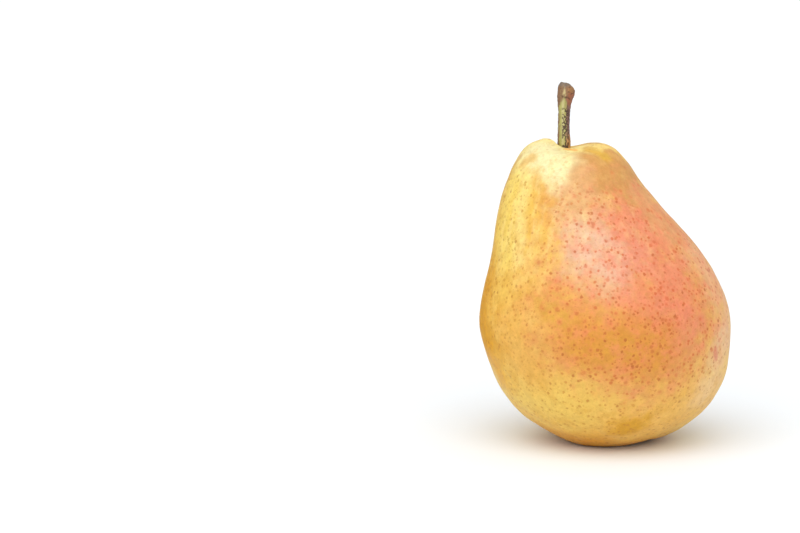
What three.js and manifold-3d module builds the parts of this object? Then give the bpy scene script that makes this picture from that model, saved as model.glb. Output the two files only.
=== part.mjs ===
// A ripe pear that stands on its own, leaning a little to its left: the fruit in one piece,
// its woody stalk, and the dried calyx in the basin underneath.
// Millimetres, +Z up. The front is towards -Y. The pear rests on a small flat spot at Z = 0,
// and the origin is on that plane, under the middle of the fruit.
import * as THREE from "three";
import { mergeVertices } from "three/addons/utils/BufferGeometryUtils.js";
import Module from "manifold-3d";

const wasm = await Module();
wasm.setup();

const { smoothstep, degToRad } = THREE.MathUtils;

// Growth axis from the calyx (height 0 along it): a slow drift to the left through the belly, then
// a quicker swing through the neck. The whole pear rests with a slight lean to the left.
const REST_LEAN = 4;
const BELLY_DRIFT = 3.2;
const DRIFT_START = 2;
const DRIFT_END = 60;
const NECK_SWING = 5.9;
const SWING_START = 50;
const SWING_END = 80;

// Fruit, as radius across the growth axis and height along it.
const BELLY_RADIUS = 37;
const BELLY_HEIGHT = 36.5;
const WAIST_RADIUS = 28.8;
const WAIST_HEIGHT = 60;
const NECK_RADIUS = 19.9;
const NECK_HEIGHT = 77.3;
const CROWN_RADIUS = 7;
const CROWN_HEIGHT = 88.9;
const CAVITY_FLOOR = 86.6;
const BASIN_RIM_RADIUS = 9;
const BASIN_FLOOR = 4.4;
const FLAT_SPOT_DEPTH = 0.95;

// Shape of the grown fruit away from a turned one. The crown dips to a saddle from front to back,
// with its left lobe the higher. A wave is a number of low lobes round the fruit, and turn is where
// its first crest lies, in degrees from +X.
const CROWN_SADDLE = 1.1;
const CROWN_LEFT_RISE = 0.8;
const CROWN_SHAPED_FROM = 76;
const CROWN_SHAPED_TO = 88;
const BASE_WAVES = [{ lobes: 3, height: 0.42, turn: 2 }, { lobes: 5, height: 0.2, turn: -7 }];
const BASE_SHAPED_TO = 18;
const BELLY_WAVES = [{ lobes: 3, height: 0.45, turn: -10 }, { lobes: 5, height: 0.3, turn: -25 }];
const DEPTH_FLATTENING = 0.012;

// The flesh climbs the stalk in a rounded lip, which is highest to the stalk's left.
const LIP_RISE = 3.8;
const LIP_ACROSS = -2.6;
const LIP_DEPTH = -0.6;
const LIP_SPREAD = 2.6;

// Stalk, set off to the left of the growth axis, and the gap round it in its plain socket.
const GAP = 0.3;
const STALK_SHIFT = 1.6;
const STALK_RADIUS = 1.7;
const STALK_ROOT_RADIUS = 1.9;
const STALK_ROOT_DEPTH = 5;
const STALK_RISE = 20.3;
const STALK_TIP_SHIFT = 1.6;
const STALK_TIP_DEPTH = 2;
const KNOB_RADIUS = 2.5;
const KNOB_BULGE = 0.35;
const KNOB_FLATTENING = 0.14;

// Calyx: the eye with its root in the fruit, the dried sepals round it and the styles in it.
const EYE_RADIUS = 2.5;
const EYE_DEPTH = 1.4;
const SEPALS = 5;
const SEPAL_LENGTH = 4.3;
const SEPAL_HALF_WIDTH = 1.25;
const SEPAL_THICKNESS = 0.65;
const SEPAL_ROOT = 1.6;
const SEPAL_REACH = 3.7;
const SEPAL_CURL = 1.5;
const STYLES = 5;
const STYLE_RADIUS = 0.42;
const STYLE_LENGTH = 2.2;

// Mesh fineness.
const FRUIT_SEGMENTS = 72;
const OUTLINE_STEPS = 46;
const STALK_SEGMENTS = 20;
const STALK_STEPS = 26;
const EYE_SEGMENTS = 30;

const skin = new THREE.MeshStandardMaterial({ color: 0xe9b765, roughness: 0.42, metalness: 0 });
const bark = new THREE.MeshStandardMaterial({ color: 0x8c7f4a, roughness: 0.75, metalness: 0 });
const driedFlower = new THREE.MeshStandardMaterial({ color: 0x4a3423, roughness: 0.9, metalness: 0 });

// A point that is given across, in depth and along the growth axis, in the pear's own space.
function onGrowthAxis(across, depth, height) {
  const drift = BELLY_DRIFT * smoothstep(height, DRIFT_START, DRIFT_END);
  const swing = NECK_SWING * smoothstep(height, SWING_START, SWING_END);
  return new THREE.Vector3(across - drift - swing, depth, height);
}

// Moves every vertex of a geometry to where a function puts it.
function reshape(geometry, place) {
  const position = geometry.getAttribute("position");
  const vertex = new THREE.Vector3();
  for (let i = 0; i < position.count; i++) {
    vertex.fromBufferAttribute(position, i);
    const placed = place(vertex);
    position.setXYZ(i, placed.x, placed.y, placed.z);
  }
  return geometry;
}

// A turned blank round +Z from an outline of (radius, height) points, bottom to top.
function turned(outline, segments) {
  return new THREE.LatheGeometry(outline, segments).rotateX(Math.PI / 2);
}

// The joint height of a list of waves at a turn round the fruit.
function waveHeight(waves, turn) {
  const heights = waves.map((wave) => wave.height * Math.cos(wave.lobes * (turn - degToRad(wave.turn))));
  return heights.reduce((sum, height) => sum + height, 0);
}

// The fruit's outline from the calyx socket, round the basin and belly, to the stalk socket.
function fruitOutline() {
  const eyeSocket = EYE_RADIUS + GAP;
  const eyeSocketRoof = BASIN_FLOOR + EYE_DEPTH + GAP;
  const stalkSocket = STALK_ROOT_RADIUS + GAP;
  const stalkSocketFloor = CAVITY_FLOOR - STALK_ROOT_DEPTH - GAP;
  const skinLine = new THREE.SplineCurve([
    new THREE.Vector2(eyeSocket, BASIN_FLOOR),
    new THREE.Vector2(5.4, BASIN_FLOOR - 1),
    new THREE.Vector2(BASIN_RIM_RADIUS, 0.3),
    new THREE.Vector2(14, 1.1),
    new THREE.Vector2(20.5, 4.3),
    new THREE.Vector2(28.2, 10.6),
    new THREE.Vector2(33.9, 20),
    new THREE.Vector2(BELLY_RADIUS, BELLY_HEIGHT),
    new THREE.Vector2(34, 48.5),
    new THREE.Vector2(WAIST_RADIUS, WAIST_HEIGHT),
    new THREE.Vector2(23.8, 70),
    new THREE.Vector2(NECK_RADIUS, NECK_HEIGHT),
    new THREE.Vector2(16.4, 83.2),
    new THREE.Vector2(12.1, 87.6),
    new THREE.Vector2(CROWN_RADIUS, CROWN_HEIGHT),
    new THREE.Vector2(4.4, CAVITY_FLOOR + 1.2),
    new THREE.Vector2(stalkSocket, CAVITY_FLOOR),
  ]);
  return [
    new THREE.Vector2(0, eyeSocketRoof),
    new THREE.Vector2(eyeSocket, eyeSocketRoof),
    ...skinLine.getPoints(OUTLINE_STEPS),
    new THREE.Vector2(stalkSocket, stalkSocketFloor),
    new THREE.Vector2(0, stalkSocketFloor),
  ];
}

// Waves, lobes and the pull towards the stalk, which make the turned blank a grown pear.
function grownFruit(vertex) {
  const radius = Math.hypot(vertex.x, vertex.y);
  const turn = Math.atan2(vertex.y, vertex.x);
  const height = vertex.z;
  const stalkSocket = STALK_ROOT_RADIUS + GAP;

  const outOfCavity = smoothstep(radius, stalkSocket, CROWN_RADIUS);
  const nearCrown = smoothstep(height, CROWN_SHAPED_FROM, CROWN_SHAPED_TO) * outOfCavity;
  const crownRise = CROWN_SADDLE * Math.cos(2 * turn) - CROWN_LEFT_RISE * Math.cos(turn);

  const nearBase = 1 - smoothstep(height, DRIFT_START, BASE_SHAPED_TO);
  const outOfBasin = smoothstep(radius, EYE_RADIUS + GAP, BASIN_RIM_RADIUS);
  const baseDrop = waveHeight(BASE_WAVES, turn) * nearBase * outOfBasin;

  const onBelly = (1 - nearBase) * (1 - smoothstep(height, WAIST_HEIGHT, CROWN_SHAPED_TO));
  const girth = radius * (1 + (waveHeight(BELLY_WAVES, turn) / BELLY_RADIUS) * onBelly);

  const nearStalk = height > WAIST_HEIGHT ? 1 - smoothstep(radius, stalkSocket, 2 * CROWN_RADIUS) : 0;
  const across = girth * Math.cos(turn) - STALK_SHIFT * nearStalk;
  const depth = girth * Math.sin(turn) * (1 - DEPTH_FLATTENING);
  const fromLip = Math.hypot(across + STALK_SHIFT - LIP_ACROSS, depth - LIP_DEPTH) / LIP_SPREAD;
  const lip = height < CAVITY_FLOOR ? 0 : LIP_RISE * Math.exp(-(fromLip ** 2));
  return onGrowthAxis(across, depth, height + crownRise * nearCrown + lip - baseDrop);
}

function fruit() {
  return reshape(turned(fruitOutline(), FRUIT_SEGMENTS), grownFruit);
}

// The stalk: a rooted peg that rises from the middle of the crown and ends in a blunt knob.
function stalk() {
  const total = STALK_ROOT_DEPTH + STALK_RISE;
  const outline = new THREE.SplineCurve([
    new THREE.Vector2(STALK_ROOT_RADIUS, 0),
    new THREE.Vector2(STALK_ROOT_RADIUS, STALK_ROOT_DEPTH * 0.5),
    new THREE.Vector2(STALK_ROOT_RADIUS, STALK_ROOT_DEPTH),
    new THREE.Vector2(STALK_RADIUS, STALK_ROOT_DEPTH + 3),
    new THREE.Vector2(STALK_RADIUS - 0.05, STALK_ROOT_DEPTH + 9),
    new THREE.Vector2(STALK_RADIUS + 0.1, total - 6.5),
    new THREE.Vector2(KNOB_RADIUS, total - 2.6),
    new THREE.Vector2(KNOB_RADIUS - 0.4, total - 0.7),
    new THREE.Vector2(KNOB_RADIUS - 1.2, total),
  ]).getPoints(STALK_STEPS);
  const blank = turned([new THREE.Vector2(0, 0), ...outline, new THREE.Vector2(0, total)], STALK_SEGMENTS);

  const emerges = onGrowthAxis(-STALK_SHIFT, 0, CAVITY_FLOOR);
  const tip = new THREE.Vector3(STALK_TIP_SHIFT, STALK_TIP_DEPTH, STALK_RISE);
  const path = new THREE.CubicBezierCurve3(
    emerges,
    emerges.clone().add(new THREE.Vector3(0, 0, STALK_RISE * 0.35)),
    emerges.clone().addScaledVector(tip, 0.6),
    emerges.clone().add(tip),
  );
  return reshape(blank, (vertex) => {
    const risen = vertex.z - STALK_ROOT_DEPTH;
    if (risen <= 0) return onGrowthAxis(vertex.x - STALK_SHIFT, vertex.y, CAVITY_FLOOR + risen);
    const share = Math.min(risen / STALK_RISE, 1);
    const along = path.getTangentAt(share);
    const across = new THREE.Vector3(0, 1, 0).cross(along).normalize();
    const depth = along.clone().cross(across);
    const onKnob = smoothstep(share, 0.62, 0.9);
    return path.getPointAt(share)
      .addScaledVector(across, vertex.x + KNOB_BULGE * onKnob)
      .addScaledVector(depth, vertex.y * (1 - KNOB_FLATTENING * onKnob));
  });
}

// A closed solid for joining, from a geometry.
function solid(geometry) {
  const bare = geometry.clone();
  for (const name of Object.keys(bare.attributes)) {
    if (name !== "position") bare.deleteAttribute(name);
  }
  const merged = mergeVertices(bare, 1e-4);
  return new wasm.Manifold(new wasm.Mesh({
    numProp: 3,
    vertProperties: merged.getAttribute("position").array,
    triVerts: new Uint32Array(merged.index.array),
  }));
}

// The geometry of a joined solid.
function geometryOf(joined) {
  const mesh = joined.getMesh();
  const geometry = new THREE.BufferGeometry();
  geometry.setAttribute("position", new THREE.BufferAttribute(new Float32Array(mesh.vertProperties), 3));
  geometry.setIndex(new THREE.BufferAttribute(new Uint32Array(mesh.triVerts), 1));
  return geometry;
}

// One dried sepal, a pointed blade that arches out of the eye and curls at its tip.
function sepal() {
  const shoulder = SEPAL_LENGTH * 0.6;
  const blade = new THREE.Shape();
  blade.moveTo(0, -SEPAL_HALF_WIDTH);
  blade.quadraticCurveTo(shoulder, -SEPAL_HALF_WIDTH, SEPAL_LENGTH, 0);
  blade.quadraticCurveTo(shoulder, SEPAL_HALF_WIDTH, 0, SEPAL_HALF_WIDTH);
  blade.closePath();
  const options = { depth: SEPAL_THICKNESS, bevelEnabled: false, curveSegments: 6 };
  return reshape(new THREE.ExtrudeGeometry(blade, options), (vertex) => {
    const share = vertex.x / SEPAL_LENGTH;
    const out = SEPAL_ROOT + SEPAL_REACH * Math.sin(share * 1.25);
    const cup = 0.1 * vertex.y ** 2;
    return new THREE.Vector3(out, vertex.y, vertex.z + cup + SEPAL_CURL * share ** 2);
  });
}

// One dried style, which stands off the middle of the eye and splays outwards.
function style() {
  const upright = new THREE.ConeGeometry(STYLE_RADIUS, STYLE_LENGTH, 8).rotateX(Math.PI / 2);
  return upright.translate(0, 0, 0.4 * STYLE_LENGTH).rotateY(0.3).translate(0.28 * EYE_RADIUS, 0, 0);
}

// The calyx, made the right way up and then turned over to point out of the base.
function calyx() {
  const eye = turned([
    new THREE.Vector2(0, -EYE_DEPTH),
    new THREE.Vector2(EYE_RADIUS, -EYE_DEPTH),
    new THREE.Vector2(EYE_RADIUS, 0.5),
    new THREE.Vector2(1.7, 0.9),
    new THREE.Vector2(1.2, 0.4),
    new THREE.Vector2(0, 0.3),
  ], EYE_SEGMENTS);
  let joined = solid(eye);
  for (let i = 0; i < SEPALS; i++) {
    joined = joined.add(solid(sepal().rotateZ((i / SEPALS) * 2 * Math.PI + 0.3)));
  }
  for (let i = 0; i < STYLES; i++) {
    joined = joined.add(solid(style().rotateZ(((i + 0.5) / STYLES) * 2 * Math.PI)));
  }
  const seat = onGrowthAxis(0, 0, BASIN_FLOOR);
  return geometryOf(joined).rotateY(Math.PI).translate(seat.x, seat.y, seat.z);
}

// Sets the pear down: it leans, its lowest skin is pressed flat, and the origin goes under its middle.
function pear() {
  const geometries = { fruit: fruit(), stalk: stalk(), calyx: calyx() };
  const materials = { fruit: skin, stalk: bark, calyx: driedFlower };
  for (const geometry of Object.values(geometries)) geometry.rotateY(-degToRad(REST_LEAN));

  geometries.fruit.computeBoundingBox();
  const drop = -geometries.fruit.boundingBox.min.z - FLAT_SPOT_DEPTH;
  for (const geometry of Object.values(geometries)) geometry.translate(0, 0, drop);
  reshape(geometries.fruit, (vertex) => vertex.setZ(Math.max(vertex.z, 0)));

  geometries.fruit.computeBoundingBox();
  const middle = geometries.fruit.boundingBox.getCenter(new THREE.Vector3());
  const group = new THREE.Group();
  for (const [name, geometry] of Object.entries(geometries)) {
    const mesh = new THREE.Mesh(geometry, materials[name]);
    mesh.name = name;
    mesh.position.set(-middle.x, -middle.y, 0);
    group.add(mesh);
  }
  return group;
}

export default pear();
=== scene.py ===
# %% [markdown]
# A ripe pear
#
# This lesson dresses a measured pear: the fruit, its woody stalk and the dried calyx in the basin
# underneath. The measured model says where everything is, in metres, with the front towards -Y and
# the table at Z = 0. It is never moved. Finer pieces are built in its place, and then they get their
# finish. We start by loading it and noting its size, so that we can compare our own work with it.

# %% Load the measured pear
from math import atan2, cos, pi, radians, sin

import bpy
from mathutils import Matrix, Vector


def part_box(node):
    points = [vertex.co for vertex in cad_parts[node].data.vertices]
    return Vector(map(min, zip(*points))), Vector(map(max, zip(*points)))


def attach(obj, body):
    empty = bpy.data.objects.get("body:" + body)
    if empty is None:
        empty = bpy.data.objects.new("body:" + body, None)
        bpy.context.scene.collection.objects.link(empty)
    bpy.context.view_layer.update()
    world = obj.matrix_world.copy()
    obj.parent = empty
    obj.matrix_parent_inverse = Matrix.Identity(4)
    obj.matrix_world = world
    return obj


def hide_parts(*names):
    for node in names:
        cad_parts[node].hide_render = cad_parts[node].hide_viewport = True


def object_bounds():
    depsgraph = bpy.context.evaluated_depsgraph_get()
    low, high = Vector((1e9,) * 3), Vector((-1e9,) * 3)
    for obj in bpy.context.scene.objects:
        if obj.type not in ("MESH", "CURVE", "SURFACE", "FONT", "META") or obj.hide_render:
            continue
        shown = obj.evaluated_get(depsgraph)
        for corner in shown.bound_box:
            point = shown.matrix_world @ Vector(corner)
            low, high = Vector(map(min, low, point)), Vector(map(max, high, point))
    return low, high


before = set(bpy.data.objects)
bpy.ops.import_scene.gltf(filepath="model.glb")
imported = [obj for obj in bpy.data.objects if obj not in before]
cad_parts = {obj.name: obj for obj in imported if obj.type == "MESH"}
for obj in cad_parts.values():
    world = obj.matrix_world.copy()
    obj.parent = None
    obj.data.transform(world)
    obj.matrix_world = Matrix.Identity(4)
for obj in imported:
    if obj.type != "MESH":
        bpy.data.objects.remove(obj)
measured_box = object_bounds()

MM = 0.001
measured_low, measured_high = measured_box
print("measured pear, mm:", [round(side / MM, 1) for side in measured_high - measured_low])

# %% [markdown]
# The camera
#
# The photograph looks at the pear from slightly above, through a long lens, with the pear right of
# the middle. The belly's width in pixels and in metres gives the scale, and the scale and the lens
# give the distance. A camera could also be placed by eye, but then every mark that we later set by
# a pixel of the photograph would miss its place.

# %% Set up the camera
PHOTO_WIDTH, PHOTO_HEIGHT = 800, 533
BELLY_PIXELS, BELLY_WIDTH = 254, 75 * MM
STAND_PIXEL = (604.6, 440.4)
VIEW_ELEVATION = radians(8)
LENS_MM, SENSOR_MM = 105, 36

metres_per_pixel = BELLY_WIDTH / BELLY_PIXELS
distance = PHOTO_WIDTH * metres_per_pixel * LENS_MM / SENSOR_MM
to_camera = Vector((0, -cos(VIEW_ELEVATION), sin(VIEW_ELEVATION)))
aim = Vector((
    (PHOTO_WIDTH / 2 - STAND_PIXEL[0]) * metres_per_pixel,
    0,
    (STAND_PIXEL[1] - PHOTO_HEIGHT / 2) * metres_per_pixel / cos(VIEW_ELEVATION),
))

camera = bpy.data.objects.new("camera", bpy.data.cameras.new("camera"))
camera.data.lens = LENS_MM
camera.data.sensor_width = SENSOR_MM
camera.location = aim + distance * to_camera
camera.rotation_euler = (pi / 2 - VIEW_ELEVATION, 0, 0)
bpy.context.scene.collection.objects.link(camera)
bpy.context.scene.camera = camera
print("camera stands", round(distance, 3), "m away")

# %% [markdown]
# Shader nodes in few words
#
# A material is a tree of nodes. Placing one takes three steps: add it, set it, and feed its inputs.
# These helpers do that, so that the materials below read like a recipe. Each returns the socket
# that the next node takes. A mask is a value that is 1 where a mark is and 0 where it isn't.

# %% Helpers that place nodes
def place(tree, kind, inputs, **settings):
    """Adds a node, with its settings, and feeds each input from a socket or with a plain value."""
    node = tree.nodes.new(kind)
    for name, value in settings.items():
        setattr(node, name, value)
    for name, value in inputs.items():
        if isinstance(value, bpy.types.NodeSocket):
            tree.links.new(value, node.inputs[name])
        else:
            node.inputs[name].default_value = value
    return node


def maths(tree, operation, *values, clamp=False):
    """A sum, a difference or the like of values."""
    inputs = dict(enumerate(values))
    return place(tree, "ShaderNodeMath", inputs, operation=operation, use_clamp=clamp).outputs[0]


def vectors(tree, operation, *values, result="Vector"):
    """The same for vectors. A length or a dot product has the result Value."""
    inputs = dict(enumerate(values))
    return place(tree, "ShaderNodeVectorMath", inputs, operation=operation).outputs[result]


def scaled(tree, vector, factor):
    """A vector made longer or shorter."""
    inputs = {0: vector, "Scale": factor}
    return place(tree, "ShaderNodeVectorMath", inputs, operation="SCALE").outputs[0]


# %% Helpers for masks
def product(tree, first, *others):
    """Masks or values multiplied: what is left is where all of them are."""
    for other in others:
        first = maths(tree, "MULTIPLY", first, other)
    return first


def largest(tree, first, *others):
    """The largest of some masks, so that marks which overlap don't add up."""
    for other in others:
        first = maths(tree, "MAXIMUM", first, other)
    return first


def without(tree, mask, share=1.0):
    """What a mask leaves free, where it takes away a share of what is under it."""
    return maths(tree, "MULTIPLY_ADD", mask, -share, 1.0)


def away_from(tree, value, middle):
    """How far a value is from a middle, to either side."""
    return maths(tree, "ABSOLUTE", maths(tree, "SUBTRACT", value, middle))


def fade(tree, value, start, end, low=0.0, high=1.0):
    """Goes softly from low to high as a value goes from start to end."""
    inputs = {"Value": value, "From Min": start, "From Max": end, "To Min": low, "To Max": high}
    return place(tree, "ShaderNodeMapRange", inputs, interpolation_type="SMOOTHSTEP").outputs[0]


def cloud(tree, position, size, detail=2.0, roughness=0.5):
    """Soft noise from 0 to 1, with lumps of about this size."""
    inputs = {"Vector": position, "Scale": 1 / size, "Detail": detail, "Roughness": roughness}
    return place(tree, "ShaderNodeTexNoise", inputs).outputs[0]


# %% Helpers for colours and materials
def screen(red, green, blue):
    """A colour as a screen shows it, from 0 to 255, in the linear light that shaders work in."""
    shares = [value / 255 for value in (red, green, blue)]
    linear = [s / 12.92 if s <= 0.04045 else ((s + 0.055) / 1.055) ** 2.4 for s in shares]
    return (*linear, 1.0)


def mix(tree, share, first, second, blend_type="MIX"):
    """One colour laid over another."""
    inputs = {0: share, 6: first, 7: second}
    return place(tree, "ShaderNodeMix", inputs, data_type="RGBA", blend_type=blend_type).outputs[2]


def new_material(name):
    """A material with nothing in it but its output, and a Position in millimetres."""
    material = bpy.data.materials.new(name)
    material.use_nodes = True
    tree = material.node_tree
    tree.nodes.clear()
    place(tree, "ShaderNodeOutputMaterial", {})
    inside = place(tree, "ShaderNodeTexCoord", {}).outputs["Object"]
    return material, tree, scaled(tree, inside, 1 / MM)


def finish_with(tree, inputs):
    """Leads a Principled shader to the material's output."""
    shader = place(tree, "ShaderNodeBsdfPrincipled", inputs)
    tree.links.new(shader.outputs[0], tree.nodes["Material Output"].inputs["Surface"])
    print("nodes:", len(tree.nodes))


# %% [markdown]
# Light and table
#
# The photograph is bright and soft: a white room, a large lamp overhead and in front, and a white
# table that gives light back from below. A dome of plain white light does much of that. It is a
# little darker towards the left and behind, which gives the pear its round side. A sun with a very
# wide angle works as the large lamp, and lights the table evenly to the horizon, which a nearby
# lamp would not, so the table melts into the white behind it.

# %% Light the room
DOME_LIGHT = 0.75
DARK_SIDE = Vector((-0.8, 0.6, 0.0))
DARK_SIDE_SHARE = 0.2
DARK_FROM, DARK_FULLY = 0.1, 0.9
LAMP_STRENGTH = 1.9
LAMP_ANGLE = radians(75)
LAMP_TILT = (radians(36), radians(-12), 0)
BACKDROP = screen(252, 254, 255)

bpy.context.scene.view_settings.view_transform = "Standard"
world = bpy.data.worlds.new("white_room")
world.use_nodes = True
tree = world.node_tree
tree.nodes.clear()
seen = place(tree, "ShaderNodeLightPath", {}).outputs["Is Camera Ray"]
towards = place(tree, "ShaderNodeTexCoord", {}).outputs["Generated"]
aside = vectors(tree, "DOT_PRODUCT", towards, DARK_SIDE, result="Value")
dark_light = DOME_LIGHT * (1 - DARK_SIDE_SHARE)
strength = fade(tree, aside, DARK_FROM, DARK_FULLY, low=DOME_LIGHT, high=dark_light)
dome = place(tree, "ShaderNodeBackground", {"Color": (1, 1, 1, 1), "Strength": strength})
backdrop = place(tree, "ShaderNodeBackground", {"Color": BACKDROP, "Strength": 1.0})
either = place(tree, "ShaderNodeMixShader", {0: seen, 1: dome.outputs[0], 2: backdrop.outputs[0]})
place(tree, "ShaderNodeOutputWorld", {"Surface": either.outputs[0]})
bpy.context.scene.world = world

lamp = bpy.data.objects.new("large_lamp", bpy.data.lights.new("large_lamp", "SUN"))
lamp.data.energy = LAMP_STRENGTH
lamp.data.angle = LAMP_ANGLE
lamp.rotation_euler = LAMP_TILT
bpy.context.scene.collection.objects.link(lamp)
print("light from the dome:", round(dark_light, 2), "to", DOME_LIGHT)

# %% Lay the table
TABLE_SIDE = 30
TABLE_WHITE = (0.89, 0.925, 0.955, 1)

bpy.ops.mesh.primitive_plane_add(size=TABLE_SIDE)
table = bpy.context.object
table.name = "table"
paper, tree, position = new_material("white_table")
finish_with(tree, {"Base Color": TABLE_WHITE, "Roughness": 0.7, "Specular IOR Level": 0.2})
table.data.materials.append(paper)

# %% [markdown]
# A glossy edge mirrors what stands behind it, and on the left that would be white table. As in a
# studio, a warm card takes the white out of that edge. Only the gloss sees it: it doesn't show, and
# it casts no shadow.

# %% Stand a warm card beside the left edge
CARD_FRONT = Vector((-88, 0)) * MM
CARD_BACK = Vector((-62, 115)) * MM
CARD_HEIGHT = 95 * MM
CARD_COLOUR = screen(150, 90, 20)

along = CARD_BACK - CARD_FRONT
middle = (CARD_FRONT + CARD_BACK) / 2
bpy.ops.mesh.primitive_plane_add(
    size=1, location=(*middle, CARD_HEIGHT / 2), rotation=(pi / 2, 0, atan2(along.y, along.x)))
card = bpy.context.object
card.name = "warm_card"
card.scale = (along.length, CARD_HEIGHT, 1)
card.visible_camera = False
card.visible_diffuse = False
card.visible_shadow = False
felt, tree, position = new_material("warm_felt")
finish_with(tree, {"Base Color": CARD_COLOUR, "Roughness": 1.0})
card.data.materials.append(felt)

# %% [markdown]
# The fruit
#
# A pear grows as one piece, so its skin is one closed surface. The measured fruit is that surface,
# in loose triangles. We take a copy, weld it, and turn its triangles back into squares, because a
# Subdivision Surface flows evenly over squares. The peg holes for the stalk and the calyx are
# filled, because on a real pear the flesh closes round them.

# %% Helpers for shaping
def edit(piece):
    """Makes a piece the only selected one and opens it for editing, with nothing in it selected."""
    if bpy.context.object and bpy.context.object.mode == "EDIT":
        bpy.ops.object.mode_set(mode="OBJECT")
    bpy.ops.object.select_all(action="DESELECT")
    piece.select_set(True)
    bpy.context.view_layer.objects.active = piece
    bpy.ops.object.mode_set(mode="EDIT")
    bpy.ops.mesh.select_all(action="DESELECT")


def done():
    """Closes editing."""
    bpy.ops.object.mode_set(mode="OBJECT")


def select_faces(piece, chosen):
    """Selects the faces whose middle passes a test."""
    bpy.ops.object.mode_set(mode="OBJECT")
    for face in piece.data.polygons:
        face.select = chosen(face.center)
    bpy.ops.object.mode_set(mode="EDIT")
    bpy.ops.mesh.select_mode(type="FACE")


def step_inwards(steps):
    """Insets the selected faces again and again, by thickness and depth in millimetres."""
    for thickness, depth in steps:
        bpy.ops.mesh.inset(thickness=thickness * MM, depth=depth * MM)


def point_outwards():
    """Turns all faces of the piece that is being edited outwards."""
    bpy.ops.mesh.select_all(action="SELECT")
    bpy.ops.mesh.normals_make_consistent(inside=False)


def count(piece):
    """How many triangles a piece has."""
    return sum(len(face.vertices) - 2 for face in piece.data.polygons)


# %% Helpers for modifiers
def apply_modifier(piece, kind, **settings):
    """Adds a modifier to a piece and applies it at once."""
    bpy.ops.object.select_all(action="DESELECT")
    piece.select_set(True)
    bpy.context.view_layer.objects.active = piece
    modifier = piece.modifiers.new(kind.lower(), kind)
    for name, value in settings.items():
        setattr(modifier, name, value)
    bpy.ops.object.modifier_apply(modifier=modifier.name)


def roughen(piece, name, size, strength, coords="LOCAL", guide=None):
    """Lifts and sinks a piece's surface by soft lumps of about this size."""
    lumps = bpy.data.textures.new(name, "CLOUDS")
    lumps.noise_scale = size
    apply_modifier(piece, "DISPLACE", texture=lumps, strength=strength, mid_level=0.5,
                   texture_coords=coords, texture_coords_object=guide)


# %% Copy the fruit and weld it
WELD_DISTANCE = 0.01 * MM
SQUARE_ANGLE = radians(60)

fruit = bpy.data.objects.new("pear_fruit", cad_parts["fruit"].data.copy())
bpy.context.scene.collection.objects.link(fruit)
fruit.data.materials.clear()
edit(fruit)
bpy.ops.mesh.select_all(action="SELECT")
bpy.ops.mesh.customdata_custom_splitnormals_clear()
bpy.ops.mesh.remove_doubles(threshold=WELD_DISTANCE)
bpy.ops.mesh.tris_convert_to_quads(face_threshold=SQUARE_ANGLE, shape_threshold=SQUARE_ANGLE)
done()
print("welded fruit:", len(fruit.data.vertices), "points,", count(fruit), "triangles")

# %% Find where the stalk and the calyx are rooted
LEAN = radians(4)
UPRIGHT = Vector((-sin(LEAN), 0, cos(LEAN)))
STALK_PEG_RADIUS, STALK_PEG_DEPTH = 1.9 * MM, 5 * MM
EYE_PEG_RADIUS, EYE_PEG_DEPTH = 2.5 * MM, 1.4 * MM
END_DEPTH = 0.4 * MM


def end_of(node, top):
    """The middle of a node's highest or lowest points."""
    low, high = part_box(node)
    level = high.z if top else low.z
    points = [v.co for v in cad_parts[node].data.vertices if abs(v.co.z - level) < END_DEPTH]
    return sum(points, Vector()) / len(points)


stalk_root = end_of("stalk", top=False)
hollow = stalk_root + STALK_PEG_DEPTH * UPRIGHT
eye_middle = end_of("calyx", top=True) - EYE_PEG_DEPTH * UPRIGHT
print("stalk rises from, mm:", [round(x / MM, 2) for x in hollow])
print("eye sits at, mm:", [round(x / MM, 2) for x in eye_middle])

# %% Close the flesh round the stalk and the calyx
PEG_MARGIN = 0.36 * MM
BELOW_RIM = 0.1 * MM
FILLING_STEPS = [(0.7, 0), (0.6, 0)]


def in_peg_hole(point, root, radius, depth):
    """Whether a point lies in the hole round a peg that starts at root."""
    along = (point - root).dot(UPRIGHT)
    aside = (point - root - along * UPRIGHT).length
    return aside < radius + PEG_MARGIN and -PEG_MARGIN < along < depth


edit(fruit)
select_faces(fruit, lambda p: in_peg_hole(
    p, stalk_root, STALK_PEG_RADIUS, STALK_PEG_DEPTH - BELOW_RIM))
bpy.ops.mesh.delete(type="FACE")
select_faces(fruit, lambda p: in_peg_hole(
    p, eye_middle, EYE_PEG_RADIUS, EYE_PEG_DEPTH + 2 * PEG_MARGIN))
bpy.ops.mesh.delete(type="FACE")
bpy.ops.mesh.select_mode(type="EDGE")
bpy.ops.mesh.select_non_manifold(extend=False)
bpy.ops.mesh.edge_face_add()
bpy.ops.mesh.select_mode(type="FACE")
step_inwards(FILLING_STEPS)
bpy.ops.mesh.poke()

# %% [markdown]
# In front of the stalk, the flesh swells a little towards it, and hides its foot. A few faces are
# pulled up there. Proportional editing takes their neighbours along, less and less with distance,
# so that no step shows, and the Smooth operator then rounds the lip of the hollow. We are still
# editing, and the points of both fillings are still selected, so they rise as well: one round the
# foot of the stalk, the other behind the eye of the calyx, where it can't be seen.

# %% Raise the flesh round the stalk
COLLAR_SHIFT = Vector((0.4, -2.2, 0)) * MM
COLLAR_RADIUS, COLLAR_SPREAD = 2.8 * MM, 3.0 * MM
COLLAR_RISE = 0.8 * MM
LIP_RADIUS = 6.5 * MM
LIP_ROUNDS = 4

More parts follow.
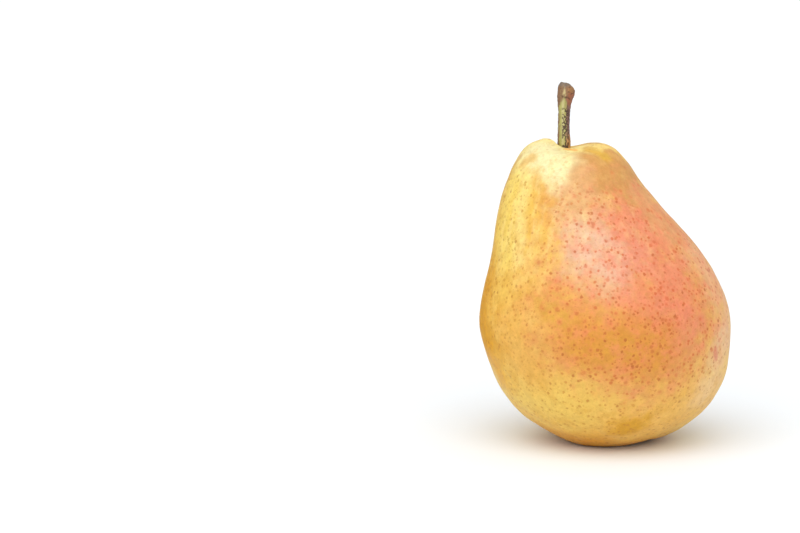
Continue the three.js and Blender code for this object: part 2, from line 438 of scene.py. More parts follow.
collar_middle = hollow + COLLAR_SHIFT
select_faces(fruit, lambda p: (p - collar_middle).length < COLLAR_RADIUS)
bpy.ops.transform.translate(
    value=COLLAR_RISE * UPRIGHT, use_proportional_edit=True, proportional_edit_falloff="SMOOTH",
    proportional_size=COLLAR_SPREAD)
select_faces(fruit, lambda p: (p - collar_middle).length < LIP_RADIUS)
bpy.ops.mesh.vertices_smooth(factor=0.5, repeat=LIP_ROUNDS)
done()
print("closed fruit:", len(fruit.data.vertices), "points,", count(fruit), "triangles")
print("flesh raised at, mm:", [round(x / MM, 1) for x in collar_middle])

# %% [markdown]
# Two levels of subdivision make the skin smooth at any distance that a table photograph is taken
# from. A grown fruit is not quite even, so a Displace modifier with soft clouds then lifts and
# sinks the skin by up to a third of a millimetre, which breaks up the light along its edge. Where
# that pushes the skin through the table, it is pressed flat again, as the weight of the pear does.

# %% Smooth the skin and make it a little uneven
UNEVENNESS = 0.6 * MM
UNEVEN_SIZE = 11 * MM

apply_modifier(fruit, "SUBSURF", levels=2, render_levels=2)
roughen(fruit, "soft_clouds", UNEVEN_SIZE, UNEVENNESS)
for point in fruit.data.vertices:
    point.co.z = max(point.co.z, 0)
edit(fruit)
point_outwards()
done()
bpy.ops.object.shade_smooth()
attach(fruit, "root")
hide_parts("fruit")
print("fruit:", count(fruit), "triangles")

# %% [markdown]
# The stalk
#
# The stalk is a woody peg, not quite 4 mm thick, with a broad knob where it broke from the spur. We
# extrude a ring upwards in steps, and set each ring's middle, width and tilt one by one, because no
# modifier gives the lopsided knob and its slanted broken top.

# %% Raise the stalk ring by ring
STALK_SIDES = 20
# Height above the crown's hollow, shift across, shift in depth, half width and tilt to the right.
STALK_RINGS = [
    (-1.4, 0.0, 0.0, 2.0, 0),
    (-0.2, 0.05, 0.0, 2.3, 0),
    (0.8, 0.08, 0.0, 2.05, 0),
    (1.9, 0.1, 0.03, 1.92, 0),
    (3.3, 0.14, 0.08, 1.9, 0),
    (5.6, 0.03, 0.25, 1.86, 1),
    (8.0, -0.02, 0.55, 1.76, 1),
    (10.3, 0.02, 0.85, 1.72, 2),
    (12.6, 0.08, 1.1, 1.8, 3),
    (13.9, 0.12, 1.3, 1.94, 4),
    (15.1, 0.28, 1.45, 2.14, 5),
    (16.3, 0.45, 1.6, 2.34, 6),
    (17.4, 0.64, 1.7, 2.5, 7),
    (18.5, 0.74, 1.78, 2.54, 8),
    (19.4, 0.62, 1.82, 2.2, 10),
    (20.1, 0.5, 1.84, 1.65, 12),
    (20.5, 0.36, 1.85, 1.2, 12),
]


def ring_place(ring):
    """Where a stalk ring's middle is."""
    height, across, depth, half_width, tilt = ring
    return hollow + Vector((across, depth, height)) * MM


lowest = STALK_RINGS[0]
bpy.ops.mesh.primitive_circle_add(
    vertices=STALK_SIDES, radius=lowest[3] * MM, fill_type="NGON", location=ring_place(lowest))
stalk = bpy.context.object
stalk.name = "pear_stalk"
bpy.ops.object.transform_apply(location=True, rotation=False, scale=False)
edit(stalk)
bpy.ops.mesh.select_all(action="SELECT")
for lower, upper in zip(STALK_RINGS, STALK_RINGS[1:]):
    move = ring_place(upper) - ring_place(lower)
    bpy.ops.mesh.extrude_region_move(TRANSFORM_OT_translate={"value": move})
    growth = upper[3] / lower[3]
    bpy.ops.transform.resize(value=(growth, growth, growth), center_override=ring_place(upper))
    turn = radians(upper[4] - lower[4])
    bpy.ops.transform.rotate(value=-turn, orient_axis="Y", center_override=ring_place(upper))
done()
print("stalk:", [round(side / MM, 1) for side in stalk.dimensions], "mm")

# %% [markdown]
# The break is slanted, so the highest face of the whole stalk lies on the left of its rim. Stepping
# that one face inwards roughens the rim there, like a small splinter. Two faces share the greatest
# height, and the order of faces can change from run to run, so the one further back is taken.

# %% Splinter the rim of the break
SPLINTER_STEPS = [(0.35, 0.05), (0.3, -0.25), (0.45, 0.12)]
SAME_PLACE = 0.1 * MM


def by_height(face):
    """Sorts faces by height to a thousandth of a millimetre, and then from front to back."""
    return round(face.center.z, 6), face.center.y


edit(stalk)
rim_face = max(stalk.data.polygons, key=by_height).center.copy()
select_faces(stalk, lambda p: (p - rim_face).length < SAME_PLACE)
step_inwards(SPLINTER_STEPS)
bpy.ops.mesh.poke()
point_outwards()
done()
print("splinter at, mm:", [round(x / MM, 1) for x in rim_face])

# %% [markdown]
# Bark has long ridges and short lumps. Both come from a Displace modifier. For the ridges, it reads
# its clouds in the frame of an empty that is stretched upwards, so the clouds are stretched too.

# %% Give the stalk its ridges and lumps
GRAIN_STRETCH = 5
RIDGE_WIDTH, RIDGE_HEIGHT = 1.1 * MM, 0.42 * MM
LUMP_WIDTH, LUMP_HEIGHT = 0.9 * MM, 0.3 * MM

apply_modifier(stalk, "SUBSURF", levels=3, render_levels=3)
grain = bpy.data.objects.new("grain", None)
bpy.context.scene.collection.objects.link(grain)
grain.scale = (1, 1, GRAIN_STRETCH)
bpy.context.view_layer.update()
roughen(stalk, "ridges", RIDGE_WIDTH, RIDGE_HEIGHT, coords="OBJECT", guide=grain)
roughen(stalk, "bark_lumps", LUMP_WIDTH, LUMP_HEIGHT)
bpy.data.objects.remove(grain)
bpy.ops.object.shade_smooth()
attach(stalk, "root")
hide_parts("stalk")
print("stalk:", count(stalk), "triangles")

# %% [markdown]
# The calyx
#
# Under the pear sits what is left of the flower: a dark, dry eye, five curled sepals round it and a
# few bristly styles. A sepal is a small grid, bent by moving its points and given a thickness. A
# loop makes all five in the same way, but each gets a ruffle of its own, since no two dry alike.

# %% Shape the dried eye
EYE_SIDES, EYE_RADIUS = 30, 2.75 * MM
EYE_RIM, EYE_TAPER = 0.45 * MM, 0.82
EYE_STEPS = [(0.45, 0), (0.35, -0.5), (0.5, 0.1)]

bpy.ops.mesh.primitive_circle_add(
    vertices=EYE_SIDES, radius=EYE_RADIUS, fill_type="NGON", location=eye_middle)
eye = bpy.context.object
eye.name = "pear_calyx"
bpy.ops.object.transform_apply(location=True, rotation=False, scale=False)
edit(eye)
bpy.ops.mesh.select_all(action="SELECT")
bpy.ops.mesh.extrude_region_move(TRANSFORM_OT_translate={"value": (0, 0, -EYE_RIM)})
bpy.ops.transform.resize(value=(EYE_TAPER, EYE_TAPER, 1), center_override=eye_middle)
step_inwards(EYE_STEPS)
point_outwards()
done()
print("eye:", count(eye), "triangles")

# %% Curl the sepals and set them round the eye
SEPALS = 5
SEPAL_LENGTH, SEPAL_WIDTH, SEPAL_THICKNESS = 4.2 * MM, 2.4 * MM, 0.32 * MM
SEPAL_START, SEPAL_LIFT = 1.5 * MM, 0.35 * MM
TIP_TAPER, TAPER_POWER = 0.9, 1.6
ARCH = 1.25
TIP_CURL, CUPPING = 1.5 * MM, 0.5 * MM
RUFFLE, RUFFLE_WAVES, RUFFLE_SHIFT = 0.14 * MM, 7, 2.3
FIRST_TURN, TURN_STRAY = 0.3, 0.12

sepals = []
for number in range(SEPALS):
    bpy.ops.object.select_all(action="DESELECT")
    bpy.ops.mesh.primitive_grid_add(x_subdivisions=6, y_subdivisions=4, size=1)
    sepal = bpy.context.object
    for point in sepal.data.vertices:
        share = point.co.x + 0.5
        side = point.co.y
        width = SEPAL_WIDTH * (1 - TIP_TAPER * share ** TAPER_POWER)
        out = SEPAL_START + SEPAL_LENGTH * sin(ARCH * share) / sin(ARCH)
        curl = TIP_CURL * share ** 2 + CUPPING * (2 * side) ** 2 * (1 - share)
        ruffle = RUFFLE * sin(RUFFLE_WAVES * share + RUFFLE_SHIFT * number) * (1 + 2 * abs(side))
        point.co = (out, side * width, SEPAL_LIFT + curl + ruffle)
    apply_modifier(sepal, "SOLIDIFY", thickness=SEPAL_THICKNESS, offset=0)
    turn = 2 * pi * number / SEPALS + FIRST_TURN + TURN_STRAY * sin(3.1 * number)
    edit(sepal)
    bpy.ops.mesh.select_all(action="SELECT")
    bpy.ops.transform.rotate(value=pi, orient_axis="Y", center_override=(0, 0, 0))
    bpy.ops.transform.rotate(value=turn, orient_axis="Z", center_override=(0, 0, 0))
    bpy.ops.transform.translate(value=eye_middle)
    point_outwards()
    done()
    sepals.append(sepal)
print("sepals:", len(sepals))

# %% Stand the styles in the eye and join the calyx
STYLES = 7
STYLE_RING, STYLE_DROP, STYLE_LENGTH = 0.65 * MM, 0.75 * MM, 1.9 * MM
STYLE_FOOT, STYLE_TIP = 0.2 * MM, 0.1 * MM
STYLE_SPLAY, FIRST_STYLE = 0.3, 0.4
CRUMPLE_SIZE, CRUMPLE_DEPTH = 0.8 * MM, 0.25 * MM

styles = []
for number in range(STYLES):
    turn = 2 * pi * number / STYLES + FIRST_STYLE
    foot = eye_middle + Vector((STYLE_RING * cos(turn), STYLE_RING * sin(turn), -STYLE_DROP))
    bpy.ops.mesh.primitive_cone_add(
        vertices=8, radius1=STYLE_FOOT, radius2=STYLE_TIP, depth=STYLE_LENGTH, location=foot,
        rotation=(pi + STYLE_SPLAY * sin(turn), STYLE_SPLAY * cos(turn), 0))
    style = bpy.context.object
    bpy.ops.object.transform_apply(location=True, rotation=True, scale=True)
    styles.append(style)

bpy.ops.object.select_all(action="DESELECT")
for piece in (*sepals, *styles, eye):
    piece.select_set(True)
bpy.context.view_layer.objects.active = eye
bpy.ops.object.join()
apply_modifier(eye, "SUBSURF", levels=2, render_levels=2)
roughen(eye, "crumple", CRUMPLE_SIZE, CRUMPLE_DEPTH)
bpy.ops.object.shade_smooth()
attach(eye, "root")
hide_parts("calyx")
print("calyx:", count(eye), "triangles")

# %% [markdown]
# Marks on the skin
#
# A pear's colour is laid down in patches: a blush where the sun reached it, tan scars, pale and
# green parts. Some patches are painted light, wholly or in part: painted highlights on the crown, the
# waist and the left flank, and painted shade down the left edge. Each patch here is a stroke, as of
# a soft brush, from one point on the skin to another. A pixel of the photograph gives each end, and
# a ray from the camera finds the skin there.
# The group works out how far each point of the skin is from the stroke, so a mark has a place in
# the pear itself and shows the same from any side. Noise moves its edge, more so if it is ragged.

# %% Build the brush
RAGGED_SIZE = 5.5


def new_group(name, inputs, outputs):
    """A node group with named inputs, as (kind, value), and outputs."""
    group = bpy.data.node_groups.new(name, "ShaderNodeTree")
    for title, (kind, value) in inputs.items():
        socket = group.interface.new_socket(title, in_out="INPUT", socket_type="NodeSocket" + kind)
        if value is not None:
            socket.default_value = value
    for title in outputs:
        group.interface.new_socket(title, in_out="OUTPUT", socket_type="NodeSocketFloat")
    return group, group.nodes.new("NodeGroupInput").outputs, group.nodes.new("NodeGroupOutput").inputs


brush, given, result = new_group("brush_stroke", {
    "Position": ("Vector", None),
    "From": ("Vector", None),
    "To": ("Vector", None),
    "Radius": ("Float", 10.0),
    "Softness": ("Float", 0.5),
    "Raggedness": ("Float", 0.5),
}, ["Mask"])
line = vectors(brush, "SUBTRACT", given["To"], given["From"])
offset = vectors(brush, "SUBTRACT", given["Position"], given["From"])
ahead = vectors(brush, "DOT_PRODUCT", offset, line, result="Value")
square = vectors(brush, "DOT_PRODUCT", line, line, result="Value")
share = maths(brush, "DIVIDE", ahead, maths(brush, "MAXIMUM", square, 0.001), clamp=True)
nearest = scaled(brush, line, share)
away = vectors(brush, "LENGTH", vectors(brush, "SUBTRACT", offset, nearest), result="Value")
noise = cloud(brush, given["Position"], RAGGED_SIZE, detail=4.0, roughness=0.6)
wander = product(brush, maths(brush, "SUBTRACT", noise, 0.5), given["Raggedness"])
reach = maths(brush, "ADD", maths(brush, "DIVIDE", away, given["Radius"]), wander)
outer = maths(brush, "ADD", 1.0, given["Softness"])
inner = maths(brush, "SUBTRACT", 1.0, given["Softness"])
brush.links.new(fade(brush, reach, outer, inner), result["Mask"])
print("nodes in the brush:", len(brush.nodes))


# %% Find the skin behind a pixel
def skin_point(pixel):
    """The point of the skin, in millimetres, that the camera sees at a pixel of the photograph."""
    ahead = -to_camera * PHOTO_WIDTH * LENS_MM / SENSOR_MM
    aside = Vector((pixel[0] - PHOTO_WIDTH / 2, 0, 0))
    up = Vector((0, sin(VIEW_ELEVATION), cos(VIEW_ELEVATION))) * (PHOTO_HEIGHT / 2 - pixel[1])
    hit, point, normal, face = fruit.ray_cast(camera.location, (ahead + aside + up).normalized())
    if not hit:
        raise ValueError(f"no skin at pixel {pixel}")
    return point / MM


# %% [markdown]
# Lenticels
#
# The dots on a pear are its breathing pores. They are irregular, half a millimetre wide and about
# two apart, so a Voronoi texture suits them: it gives each cell one centre, and a dot is what lies
# close to that centre. Its random colour makes some dots larger, darkens some, and leaves some out.
# A little noise shakes the position first, so that the dots aren't quite round.

# %% Build the dots
SHAKE_SCALE, SHAKE = 1.6, 0.6

dots, given, result = new_group("dots", {
    "Position": ("Vector", None),
    "Spacing": ("Float", 1.5),
    "Radius": ("Float", 0.35),
    "Blur": ("Float", 0.15),
    "Halo": ("Float", 0.8),
    "Share": ("Float", 1.0),
}, ["Dot", "Halo", "Random"])
shaker = place(dots, "ShaderNodeTexNoise", {
    "Vector": given["Position"], "Scale": SHAKE_SCALE, "Detail": 1.0}).outputs["Color"]
shake = scaled(dots, vectors(dots, "SUBTRACT", shaker, (0.5, 0.5, 0.5)), SHAKE)
shaken = vectors(dots, "ADD", given["Position"], shake)
cells = place(dots, "ShaderNodeTexVoronoi", {
    "Vector": scaled(dots, shaken, maths(dots, "DIVIDE", 1.0, given["Spacing"])), "Scale": 1.0})
away = product(dots, cells.outputs["Distance"], given["Spacing"])
lot = place(dots, "ShaderNodeSeparateColor", {"Color": cells.outputs["Color"]}).outputs
kept = maths(dots, "LESS_THAN", lot[0], given["Share"])
radius = product(dots, given["Radius"], maths(dots, "MULTIPLY_ADD", lot[1], 0.7, 0.65))
outside = maths(dots, "ADD", radius, given["Blur"])
inside = maths(dots, "SUBTRACT", radius, given["Blur"])
core = fade(dots, away, outside, inside)
halo = fade(dots, away, given["Halo"], 0.0)
dots.links.new(product(dots, core, kept), result["Dot"])
dots.links.new(product(dots, halo, kept), result["Halo"])
dots.links.new(lot[2], result["Random"])
print("nodes in the dots:", len(dots.nodes))

# %% [markdown]
# The skin
#
# The finish is built as the fruit is: a yellow ground, patches over it, then the dots, and a thin
# wax over all. The wide patches go on first, and the small marks last.

# %% Mix the skin's ground
GOLD = screen(238, 194, 90)
STRAW = screen(244, 210, 116)
AMBER = screen(228, 168, 78)
STRAW_SIZE, AMBER_SIZE = 15.0, 24.0

skin, tree, position = new_material("pear_skin")
broad = cloud(tree, position, STRAW_SIZE, detail=3.0)
warmth = cloud(tree, vectors(tree, "ADD", position, (40, 0, 0)), AMBER_SIZE, detail=3.0)
colour = mix(tree, fade(tree, broad, 0.38, 0.62), GOLD, STRAW)
colour = mix(tree, fade(tree, warmth, 0.48, 0.72, high=0.6), colour, AMBER)
print("nodes in the ground:", len(tree.nodes))

# %% Brush the patches on
# Colour, from pixel, to pixel, radius in mm, softness, raggedness and strength.
PATCHES = {
    "warm_side": (screen(220, 152, 86), (658, 262), (645, 325), 30, 0.4, 1.2, 0.92),
    "peach": (screen(220, 174, 118), (580, 204), (612, 232), 10, 0.5, 1.4, 0.85),
    # Pale pink skin that also carries a painted highlight, where the lamp's broad reflection falls on
    # the waist.
    "pale_pink_and_painted_highlight": (screen(226, 186, 160), (596, 250), (616, 262), 9.5, 0.6, 1.2, 0.85),
    "blush": (screen(226, 134, 104), (640, 226), (668, 308), 12, 0.6, 2.0, 0.8),
    "right_edge": (screen(232, 180, 136), (698, 258), (727, 335), 6, 0.8, 1.4, 0.7),
    "low_glow": (screen(214, 146, 46), (562, 338), (652, 350), 8.5, 0.7, 1.2, 0.75),
    "yellow_foot_left": (screen(236, 200, 98), (514, 388), (584, 412), 11, 0.7, 2.6, 0.9),
    "yellow_foot_right": (screen(236, 188, 94), (640, 426), (696, 402), 10, 0.75, 2.8, 0.88),
    "pale_low_right": (screen(234, 202, 158), (721, 350), (706, 392), 5.5, 0.9, 2.0, 0.55),
    "lemon_crown": (screen(242, 222, 140), (528, 150), (580, 152), 7.5, 0.5, 1.2, 0.9),
    "ochre_low_left": (screen(228, 168, 74), (506, 330), (528, 368), 7, 0.7, 1.4, 0.7),
    "tan_shoulder": (screen(207, 152, 86), (591, 167), (632, 188), 7.0, 0.25, 1.3, 0.95),
    "tan_top": (screen(208, 154, 86), (613, 157), (632, 172), 3.6, 0.3, 1.6, 0.9),
    "tan_slope": (screen(220, 158, 104), (640, 195), (668, 235), 4.4, 0.35, 2.0, 0.8),
    # Pale yellow skin with a painted highlight over the crown, where the lamp's soft reflection lies.
    "pale_crown_and_painted_highlight": (screen(238, 230, 178), (540, 152), (558, 168), 6.5, 0.6, 0.8, 0.9),
    "salmon_neck": (screen(217, 165, 108), (582, 175), (579, 196), 4.2, 0.45, 1.3, 0.85),
    "yellow_lip": (screen(220, 174, 66), (590, 149), (604, 157), 2.2, 0.6, 2.6, 0.85),
    "green_neck": (screen(246, 218, 112), (513, 190), (502, 250), 6, 0.7, 1.4, 0.7),
    # A pale streak painted as a highlight: the gleam of light down the left flank.
    "painted_gleam_left_flank": (screen(248, 228, 150), (526, 176), (519, 258), 2.2, 0.8, 1.6, 0.45),
    # Painted shade: deep ochre down the left edge and foot, standing in for shadow and a darker
    # reflection on that side.
    "painted_shade_left_edge": (screen(222, 154, 16), (487, 285), (486, 342), 8.0, 1.0, 2.2, 0.78),
    "painted_shade_left_foot": (screen(230, 168, 30), (490, 350), (502, 376), 4.0, 1.0, 1.6, 0.75),
    "amber_belly": (screen(226, 166, 86), (528, 300), (542, 335), 7, 0.8, 1.4, 0.6),
    "olive_belly": (screen(212, 160, 62), (545, 304), (556, 318), 3.6, 0.8, 4.0, 0.6),
    "olive_low": (screen(214, 156, 56), (612, 348), (624, 352), 3.0, 0.8, 4.0, 0.5),
    "olive_side": (screen(222, 158, 76), (638, 282), (648, 288), 2.6, 0.8, 4.0, 0.45),
    "olive_foot": (screen(214, 158, 22), (622, 429), (637, 424), 3.8, 0.6, 2.4, 0.85),
    "smudge_shoulder": (screen(224, 168, 70), (525, 161), (532, 157), 1.7, 0.7, 4.0, 0.6),
    "smudge_neck_high": (screen(226, 170, 70), (537, 179), (541, 188), 1.6, 0.7, 4.0, 0.6),
    "smudge_neck": (screen(224, 162, 64), (543, 199), (549, 202), 1.4, 0.7, 4.0, 0.6),
    "smudge_neck_low": (screen(226, 158, 74), (545, 216), (550, 224), 1.7, 0.7, 4.0, 0.5),
    "left_rim": (screen(190, 130, 72), (519.5, 158), (505.5, 185), 1.3, 0.8, 5.0, 0.55),
    "russet_cap": (screen(150, 106, 70), (587, 143.8), (600, 143.6), 0.9, 0.8, 4.0, 0.7),
    "stalk_foot": (screen(238, 168, 74), (567, 149), (575, 150), 0.9, 0.6, 1.5, 0.8),
    "pink_scar": (screen(214, 122, 100), (715, 351), (716, 357), 1.0, 0.8, 3.0, 0.7),
}

masks = {}
for name, (tint, start, end, reach, softness, raggedness, strength) in PATCHES.items():
    stroke = place(tree, "ShaderNodeGroup", {
        "Position": position, "From": skin_point(start), "To": skin_point(end),
        "Radius": reach, "Softness": softness, "Raggedness": raggedness}, node_tree=brush)
    masks[name] = product(tree, stroke.outputs["Mask"], strength)
    colour = mix(tree, masks[name], colour, tint)
print("patches on the skin:", len(masks))

# %% [markdown]
# The masks of some patches also say where later marks belong. The tan scars are bare of dots and
# clouds, the red parts get the red dots, and the golden parts are the rest.

# %% Tell the bare, the red and the golden parts apart
bare = largest(tree, masks["tan_top"], masks["tan_shoulder"], masks["tan_slope"])
covered = without(tree, bare, 0.8)
red = largest(tree, masks["blush"], product(tree, masks["warm_side"], 0.8))
for foot in ("yellow_foot_left", "yellow_foot_right"):
    red = product(tree, red, without(tree, masks[foot]))
golden = product(tree, covered, without(tree, red, 0.65), without(tree, masks["lemon_crown"], 0.8))
print("nodes with the parts told apart:", len(tree.nodes))

# %% [markdown]
# Skin is never one even colour. The base goes deep amber towards the table, as painted shade.
# Streaks run down the neck, where the young fruit grew fastest, and small clouds of ochre and of
# rose lie under the surface everywhere else. Noise does both: it is stretched along Z for the
# streaks, and cut off at a level for the clouds, so that they have edges. Noise lies mostly between
# 0.3 and 0.7, so the two levels of a fade say how much of the skin a cloud covers.

# %% Streak and mottle the skin
OCHRE = screen(220, 166, 64)
ROSE = screen(236, 136, 104)
PALE = screen(250, 224, 150)
GRIT_DARK, GRIT_LIGHT = screen(236, 230, 222), screen(255, 255, 255)
PAINTED_BASE_SHADE = screen(220, 146, 14)
BASE_TOP, BASE_BOTTOM, BASE_WAVES = 8.0, 0.5, 8.0
NECK_FROM, NECK_FULL = 45.0, 62.0
STREAK_WIDTH, STREAK_STRETCH = 2.4, (1, 1, 0.16)
OCHRE_SIZE, ROSE_SIZE, GRIT_SIZE = 4.2, 5.0, 2.2
ELSEWHERE = (0, 0, 70)

height = place(tree, "ShaderNodeSeparateXYZ", {"Vector": position}).outputs["Z"]
wavy_height = maths(tree, "MULTIPLY_ADD", maths(tree, "SUBTRACT", broad, 0.5), BASE_WAVES, height)
# Painted shade: the skin goes deep amber towards the table.
colour = mix(tree, fade(tree, wavy_height, BASE_TOP, BASE_BOTTOM, high=0.75), colour, PAINTED_BASE_SHADE)

on_neck = fade(tree, height, NECK_FROM, NECK_FULL)
streak = cloud(tree, vectors(tree, "MULTIPLY", position, STREAK_STRETCH), STREAK_WIDTH, detail=3.0)
pale_streaks = product(tree, fade(tree, streak, 0.46, 0.7, high=0.4), on_neck, golden)
colour = mix(tree, pale_streaks, colour, PALE)

noise = cloud(tree, position, OCHRE_SIZE, detail=5.0, roughness=0.65)
colour = mix(tree, product(tree, fade(tree, noise, 0.46, 0.7, high=0.5), golden), colour, OCHRE)
noise = cloud(tree, vectors(tree, "ADD", position, ELSEWHERE), ROSE_SIZE, detail=5.0, roughness=0.65)
colour = mix(tree, product(tree, fade(tree, noise, 0.44, 0.68, high=0.6), red), colour, ROSE)

grit = cloud(tree, position, GRIT_SIZE, detail=5.0, roughness=0.8)
shade = mix(tree, fade(tree, grit, 0.3, 0.7), GRIT_DARK, GRIT_LIGHT)
colour = mix(tree, 1.0, colour, shade, blend_type="MULTIPLY")
print("nodes with the clouds:", len(tree.nodes))

# %% Set the dots in the skin
OLIVE_DOT = screen(182, 142, 44)
RUSSET_DOT = screen(192, 128, 46)
RED_DOT = screen(200, 80, 46)
BROWN_DOT = screen(172, 100, 34)
DARK_DOT = screen(160, 80, 26)
RED_HALO = screen(230, 116, 82)
CROWD_SIZE = 7.0
FINE_DEPTH, LARGE_DEPTH = 0.5, 0.62
SMALL_DEPTH, SMALL_DEPTH_IN_RED = 0.58, 0.72
SMALL_HALO_DEPTH, LARGE_HALO_DEPTH = 0.35, 0.5


def dot_layer(spacing, radius, blur, halo, share):
    """The dots of one size, in millimetres, as the sockets Dot, Halo and Random."""
    return place(tree, "ShaderNodeGroup", {
        "Position": position, "Spacing": spacing, "Radius": radius, "Blur": blur,
        "Halo": halo, "Share": share}, node_tree=dots).outputs


fine = dot_layer(spacing=0.95, radius=0.16, blur=0.09, halo=0.3, share=0.8)
small = dot_layer(spacing=1.5, radius=0.37, blur=0.19, halo=0.85, share=0.92)
large = dot_layer(spacing=2.4, radius=0.5, blur=0.22, halo=1.3, share=0.7)
crowd = fade(tree, cloud(tree, position, CROWD_SIZE, detail=2.0), 0.3, 0.55, low=0.65)
# Fewer dots under the painted highlight on the crown, as if the light washed them out.
present = product(tree, covered, crowd, without(tree, masks["pale_crown_and_painted_highlight"], 0.7))

dot_colour = mix(tree, masks["green_neck"], RUSSET_DOT, OLIVE_DOT)
dot_colour = mix(tree, red, dot_colour, RED_DOT)
dot_colour = mix(tree, masks["low_glow"], dot_colour, BROWN_DOT)
dot_colour = mix(tree, fade(tree, small["Random"], 0.6, 0.9, high=0.7), dot_colour, DARK_DOT)

fine_dot = product(tree, fine["Dot"], FINE_DEPTH, present)
small_depth = fade(tree, red, 0.0, 0.8, low=SMALL_DEPTH, high=SMALL_DEPTH_IN_RED)
small_dot = product(tree, small["Dot"], small_depth, present)
large_dot = product(tree, large["Dot"], LARGE_DEPTH, red)
small_halo = product(tree, small["Halo"], SMALL_HALO_DEPTH, present, red)
large_halo = product(tree, large["Halo"], LARGE_HALO_DEPTH, red)
colour = mix(tree, largest(tree, small_halo, large_halo), colour, RED_HALO)
colour = mix(tree, largest(tree, fine_dot, small_dot, large_dot), colour, dot_colour)
print("nodes with the dots:", len(tree.nodes))

# %% Give the skin its wax and its fine pores
PORE_SIZE, WAVE_SIZE = 0.55, 2.6
PORE_SHARE, DOT_SHARE = 0.25, 0.35
GLOSSIEST, DULLEST, SCAR_DULLER = 0.42, 0.54, 0.08

pores = cloud(tree, position, PORE_SIZE, detail=2.0)
waves = cloud(tree, position, WAVE_SIZE, detail=2.0)
relief = maths(tree, "MULTIPLY_ADD", pores, PORE_SHARE, waves)
relief = maths(tree, "MULTIPLY_ADD", small_dot, DOT_SHARE, relief)
bump = place(tree, "ShaderNodeBump", {"Height": relief, "Strength": 0.25, "Distance": 0.25 * MM})
gloss = fade(tree, grit, 0.3, 0.7, low=GLOSSIEST, high=DULLEST)
gloss = maths(tree, "MULTIPLY_ADD", bare, SCAR_DULLER, gloss)
finish_with(tree, {
    "Base Color": colour,
    "Roughness": gloss,
    "Normal": bump.outputs[0],
    "IOR": 1.3,
    "Subsurface Weight": 0.1,
    "Subsurface Radius": (1.0, 0.5, 0.25),
    "Subsurface Scale": 1.5 * MM,
    "Coat Weight": 0.06,
    "Coat Roughness": 0.3,
})
fruit.data.materials.append(skin)

# %% [markdown]
# Bark of the stalk
#
# The left of the stalk is still green, with painted shade in brown along its edge and a painted
# highlight, a pale strip, along it. The right has gone brown, and orange at its foot. Cork has cracked
# into dark squiggles along the border between them. The knob is brown and gold, with a painted
# highlight as a pale strip and the scar of a bud on its front, and a red side under it, and its break
# is grey. Heights are counted from the crown's hollow and widths from the border. Fibres in the wood
# shift both, so that no edge is straight.

# %% Find the stalk's sides, heights and fibres
BORDER_ACROSS = hollow.x / MM + 0.55
KNOB_DEPTH = 1.7
HIGHLIGHT_STRIP_ACROSS, MIDDLE_ACROSS = -0.95, -0.5
FIBRE_SIZE, FIBRE_STRETCH, FIBRE_SHIFT = 0.5, (1, 1, 0.3), 2.6

bark, tree, position = new_material("stalk_bark")
parts = place(tree, "ShaderNodeSeparateXYZ", {"Vector": position}).outputs
level = maths(tree, "SUBTRACT", parts["Z"], hollow.z / MM)
side = maths(tree, "SUBTRACT", parts["X"], BORDER_ACROSS)
behind = maths(tree, "SUBTRACT", parts["Y"], hollow.y / MM + KNOB_DEPTH)
fibres = vectors(tree, "MULTIPLY", position, FIBRE_STRETCH)
fibre = cloud(tree, fibres, FIBRE_SIZE, detail=4.0, roughness=0.65)
weave = product(tree, maths(tree, "SUBTRACT", fibre, 0.5), FIBRE_SHIFT)
woven_side = maths(tree, "ADD", side, weave)
woven_level = maths(tree, "ADD", level, weave)
from_middle = away_from(tree, side, MIDDLE_ACROSS)
front = fade(tree, behind, 0.3, -0.7)
print("border of the green side, mm:", round(BORDER_ACROSS, 2))

# %% Colour the shaft
GREEN_SIDE = screen(186, 184, 104)
PAINTED_HIGHLIGHT_STRIP = screen(222, 214, 156)
BROWN_SIDE = screen(142, 102, 90)
ORANGE_BARK = screen(204, 150, 88)

brown = fade(tree, woven_side, -0.4, 0.5)
colour = mix(tree, brown, GREEN_SIDE, BROWN_SIDE)
# Painted shade: the far left edge of the stalk goes brown.
colour = mix(tree, fade(tree, woven_side, -1.7, -2.2, high=0.85), colour, BROWN_SIDE)
# A painted highlight: a pale strip along the green side, where the lamp's reflection runs.
highlight_strip = fade(tree, away_from(tree, side, HIGHLIGHT_STRIP_ACROSS), 0.6, 0.1, high=0.7)
colour = mix(tree, highlight_strip, colour, PAINTED_HIGHLIGHT_STRIP)
scorched = product(tree, fade(tree, woven_side, -0.1, 0.5), fade(tree, woven_level, 6.5, 3.5))
colour = mix(tree, scorched, colour, ORANGE_BARK)
print("nodes in the shaft:", len(tree.nodes))

# %% Colour the knob
KNOB_GOLD = screen(172, 124, 70)
KNOB_BROWN = screen(150, 112, 78)
KNOB_PAINTED_HIGHLIGHT = screen(224, 208, 148)
KNOB_RED = screen(164, 96, 64)
CRACK = screen(70, 42, 26)
BREAK_GREY = screen(134, 116, 98)
KNOB_FROM, KNOB_FULL, KNOB_SAG = 15.2, 17.2, 1.3
BUD_LEVEL, BUD_ARCH = 16.2, -0.5
BREAK_FROM, BREAK_FULL = 19.0, 20.0

knob_level = maths(tree, "MULTIPLY_ADD", from_middle, KNOB_SAG, woven_level)
knob = fade(tree, knob_level, KNOB_FROM, KNOB_FULL, high=0.92)
knob_tint = mix(tree, fade(tree, woven_side, 0.0, 0.8), KNOB_BROWN, KNOB_GOLD)
colour = mix(tree, knob, colour, knob_tint)

taper = maths(tree, "MULTIPLY_ADD", fade(tree, level, 16.5, 20.0), 0.6, from_middle)
taper = maths(tree, "MULTIPLY_ADD", weave, 0.6, taper)
above = fade(tree, woven_level, 16.4, 17.4)
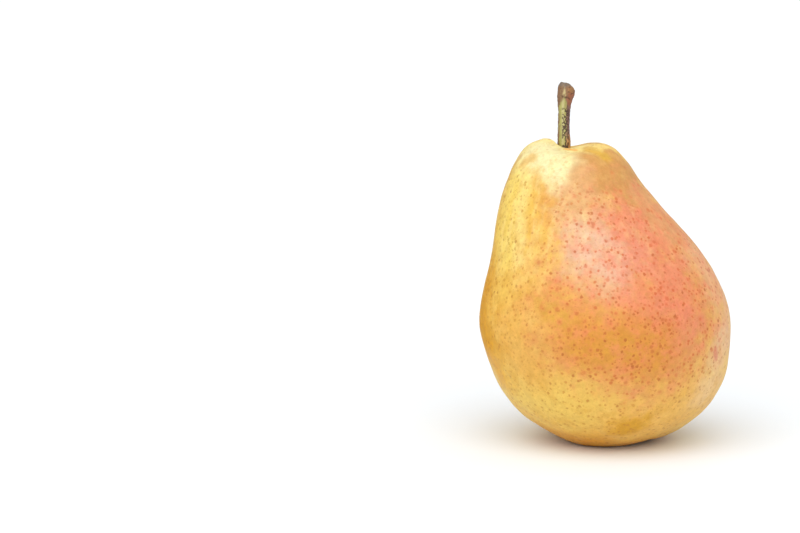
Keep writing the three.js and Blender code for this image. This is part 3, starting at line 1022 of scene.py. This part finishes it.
# A painted highlight: a pale strip up the front of the knob.
knob_highlight_strip = product(tree, fade(tree, taper, 0.9, 0.3, high=0.85), above, front)
colour = mix(tree, knob_highlight_strip, colour, KNOB_PAINTED_HIGHLIGHT)

above = fade(tree, woven_level, 13.4, 14.6)
below = fade(tree, woven_level, 18.2, 16.8, high=0.85)
reddish = product(tree, fade(tree, woven_side, 0.0, 0.6), above, below)
colour = mix(tree, reddish, colour, KNOB_RED)

bud_level = maths(tree, "MULTIPLY_ADD", weave, 0.5, level)
bud_level = maths(tree, "MULTIPLY_ADD", from_middle, BUD_ARCH, bud_level)
bud_scar = fade(tree, away_from(tree, bud_level, BUD_LEVEL), 0.45, 0.05, high=0.8)
broken = fade(tree, fibre, 0.36, 0.56, low=0.25)
bud_scar = product(tree, bud_scar, broken, fade(tree, from_middle, 1.2, 0.6), front)
colour = mix(tree, bud_scar, colour, CRACK)
colour = mix(tree, fade(tree, woven_level, BREAK_FROM, BREAK_FULL), colour, BREAK_GREY)
print("nodes with the knob:", len(tree.nodes))

# %% [markdown]
# A crack is a thin line, and noise has one wherever it passes its middle level, 0.5. Its winding
# contour there looks like cracked cork. The bump makes the cracks lie deeper than the wood.

# %% Crack the bark
CRACK_SIZE, CRACK_STRETCH = 1.0, (1, 1, 0.7)
CRACK_ACROSS = -0.15
SPECK_SIZE = 0.8
FIBRE_DARK, FIBRE_LIGHT = screen(196, 184, 172), screen(255, 255, 255)

squiggle = cloud(tree, vectors(tree, "MULTIPLY", position, CRACK_STRETCH), CRACK_SIZE, detail=2.0)
thin = fade(tree, away_from(tree, squiggle, 0.5), 0.1, 0.045)
near_border = fade(tree, away_from(tree, side, CRACK_ACROSS), 1.3, 0.8)
below_knob = fade(tree, woven_level, 13.6, 12.4)
cracks = product(tree, thin, near_border, below_knob)
specks = fade(tree, cloud(tree, position, SPECK_SIZE, detail=3.0, roughness=0.7), 0.54, 0.62, high=0.8)
specks = product(tree, specks, largest(tree, brown, product(tree, knob, 0.7)))
dark = largest(tree, cracks, specks)
colour = mix(tree, product(tree, dark, 0.92), colour, CRACK)
shade = mix(tree, fibre, FIBRE_DARK, FIBRE_LIGHT)
colour = mix(tree, 1.0, colour, shade, blend_type="MULTIPLY")
relief = maths(tree, "MULTIPLY_ADD", dark, -0.4, fibre)
bump = place(tree, "ShaderNodeBump", {"Height": relief, "Strength": 0.5, "Distance": 0.25 * MM})
finish_with(tree, {"Base Color": colour, "Roughness": 0.6, "Normal": bump.outputs[0]})
stalk.data.materials.append(bark)

# %% [markdown]
# The dried flower
#
# The flower is dry, dark and matt, and crumbs of paler husk are left on it. Noise mixes the two
# browns, and the same noise drives the bump, so that the paler crumbs stand up.

# %% Mix the dried flower
HUSK_DARK, HUSK_PALE = screen(58, 38, 24), screen(122, 88, 54)
CRUMB_SIZE = 0.7

husk, tree, position = new_material("dried_sepals")
crumb = cloud(tree, position, CRUMB_SIZE, detail=4.0, roughness=0.65)
colour = mix(tree, fade(tree, crumb, 0.3, 0.7), HUSK_DARK, HUSK_PALE)
bump = place(tree, "ShaderNodeBump", {"Height": crumb, "Strength": 0.6, "Distance": 0.2 * MM})
finish_with(tree, {"Base Color": colour, "Roughness": 0.85, "Normal": bump.outputs[0]})
eye.data.materials.append(husk)
